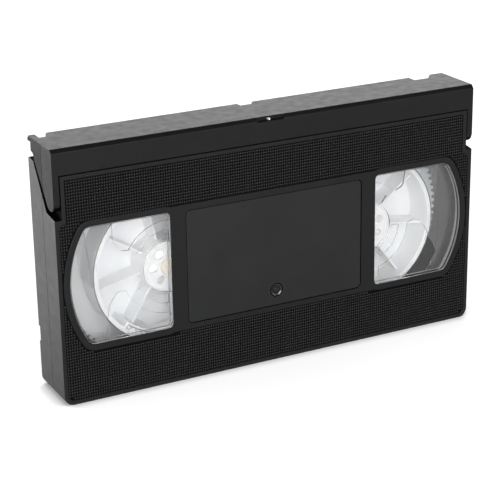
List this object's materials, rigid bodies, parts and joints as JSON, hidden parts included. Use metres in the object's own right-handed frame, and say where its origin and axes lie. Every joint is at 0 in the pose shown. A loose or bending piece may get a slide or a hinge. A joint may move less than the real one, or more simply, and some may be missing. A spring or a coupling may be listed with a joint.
{
  "type": "video tape cassette",
  "caption": "Black video tape cassette standing on its spine: clear windows over two white toothed reels, hinged door, label recess, brakes, lock and guide rollers.",
  "frame": {"origin": "centre of the bounding box's footprint on the spine's plane", "axes": "+X along the width, +Y through the thickness towards the underside, +Z from the spine up to the door"},
  "size_m": [0.188, 0.025, 0.104],
  "materials": {
    "black_plastic": "satin",
    "clear_plastic": "polished",
    "leader_film": "polished",
    "white_plastic": "satin",
    "cream_plastic": "satin",
    "felt": "matte",
    "screw_steel": "satin",
    "spring_steel": "satin"
  },
  "bodies": {
    "shell": {"upper_shell": "black_plastic", "lower_shell": "black_plastic", "window_left": "clear_plastic", "window_right": "clear_plastic", "case_screws": "screw_steel", "door_spring": "spring_steel", "door_lock_spring": "spring_steel", "reel_leaf_spring": "spring_steel", "leaf_spring_rivets": "spring_steel", "brake_spring_left": "spring_steel", "brake_spring_right": "spring_steel", "guide_pin_left": "spring_steel", "guide_pin_right": "spring_steel", "tape_post_left": "spring_steel", "tape_post_right": "spring_steel", "tape_span": "leader_film", "pressure_spring": "spring_steel", "pressure_pad": "felt", "erase_tab": "black_plastic"},
    "front_door": {"door": "black_plastic"},
    "lock_lever": {"door_lock": "black_plastic"},
    "reel_supply": {"supply_reel": "white_plastic", "supply_clear_flange": "clear_plastic", "supply_button": "cream_plastic", "supply_clamp": "white_plastic", "supply_leader": "leader_film"},
    "reel_takeup": {"takeup_reel": "white_plastic", "takeup_clear_flange": "clear_plastic", "takeup_button": "cream_plastic", "takeup_clamp": "white_plastic", "takeup_leader": "leader_film"},
    "brake_left": {"brake_lever_left": "white_plastic"},
    "brake_right": {"brake_lever_right": "white_plastic"},
    "release": {"brake_release": "white_plastic"},
    "roller_left": {"guide_roller_left": "white_plastic"},
    "roller_right": {"guide_roller_right": "white_plastic"}
  },
  "joints": [
    {"name": "door_hinge", "type": "hinge", "parent": "shell", "child": "front_door", "pos_m": [0, -0.0085, 0.0832], "axis": [1, 0, 0], "range_deg": [0, 90]},
    {"name": "supply_spin", "type": "hinge", "parent": "shell", "child": "reel_supply", "pos_m": [-0.046, 0, 0.048], "axis": [0, 1, 0], "continuous": true},
    {"name": "takeup_spin", "type": "hinge", "parent": "shell", "child": "reel_takeup", "pos_m": [0.046, 0, 0.048], "axis": [0, 1, 0], "continuous": true},
    {"name": "roller_left_spin", "type": "hinge", "parent": "shell", "child": "roller_left", "pos_m": [-0.08, 0, 0.096], "axis": [0, 1, 0], "continuous": true},
    {"name": "roller_right_spin", "type": "hinge", "parent": "shell", "child": "roller_right", "pos_m": [0.08, 0, 0.096], "axis": [0, 1, 0], "continuous": true},
    {"name": "lock_pivot", "type": "hinge", "parent": "shell", "child": "lock_lever", "pos_m": [0.087, 0.0054, 0.0845], "axis": [0, -1, 0], "range_deg": [0, 10]},
    {"name": "release_hinge", "type": "hinge", "parent": "shell", "child": "release", "pos_m": [0, 0.0093, 0.0065], "axis": [1, 0, 0], "range_deg": [0, 6]},
    {"name": "brake_left_pivot", "type": "hinge", "parent": "shell", "child": "brake_left", "pos_m": [-0.006, 0.0075, 0.025], "axis": [0, -1, 0], "range_deg": [0, 9]},
    {"name": "brake_right_pivot", "type": "hinge", "parent": "shell", "child": "brake_right", "pos_m": [0.006, 0.0075, 0.025], "axis": [0, 1, 0], "range_deg": [0, 9]}
  ],
  "couplings": [
    {"joint": "takeup_spin", "follows": "supply_spin", "ratio": 1},
    {"joint": "roller_left_spin", "follows": "supply_spin", "ratio": 9.667},
    {"joint": "roller_right_spin", "follows": "supply_spin", "ratio": 9.667},
    {"joint": "brake_left_pivot", "follows": "release_hinge", "ratio": 1.5},
    {"joint": "brake_right_pivot", "follows": "release_hinge", "ratio": 1.5}
  ]
}
